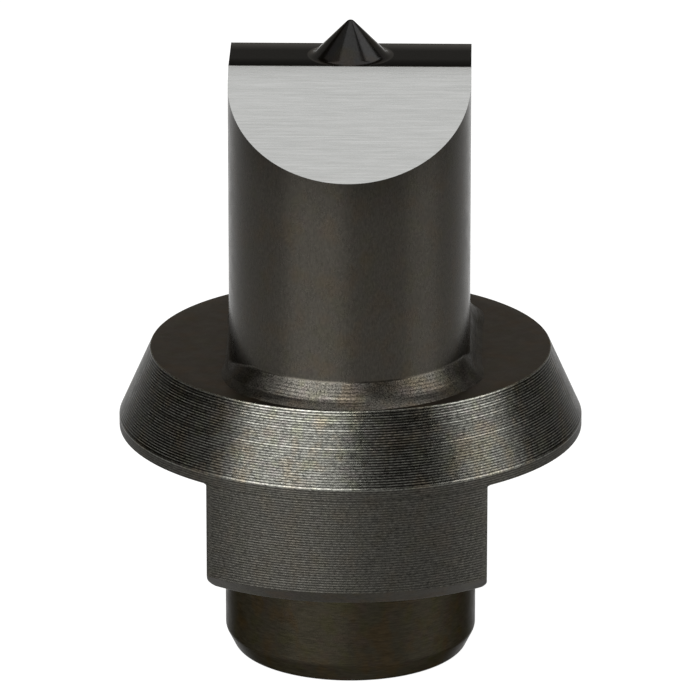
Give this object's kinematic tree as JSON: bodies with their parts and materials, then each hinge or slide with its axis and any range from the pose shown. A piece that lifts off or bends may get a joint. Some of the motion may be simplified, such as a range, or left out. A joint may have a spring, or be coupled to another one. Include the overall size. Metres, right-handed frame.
{
  "type": "oblong punch",
  "caption": "Solid oblong punch with a centring point and sloped shear faces, on a conical flange, a flatted key collar and a round spigot.",
  "frame": {"origin": "centre of the spigot's flat end, the face that the punch stands on", "axes": "+Z along the punch's axis towards its tip, +X square to the key flats and the post's flat sides, +Y along the oblong"},
  "size_m": [0.0272, 0.0272, 0.0386],
  "materials": {
    "post_oxide": "ground tool steel, satin black oxide, shear faces ground bright",
    "point_oxide": "turned tool steel, semi-gloss black oxide",
    "flange_oxide": "coarsely turned tool steel, black oxide",
    "collar_oxide": "finely turned tool steel, black oxide",
    "spigot_oxide": "smooth turned tool steel, satin brown-black oxide"
  },
  "bodies": {
    "root": {"oblong_post": "post_oxide", "centre_point": "point_oxide", "cone_flange": "flange_oxide", "keyed_collar": "collar_oxide", "guide_spigot": "spigot_oxide"}
  },
  "joints": []
}
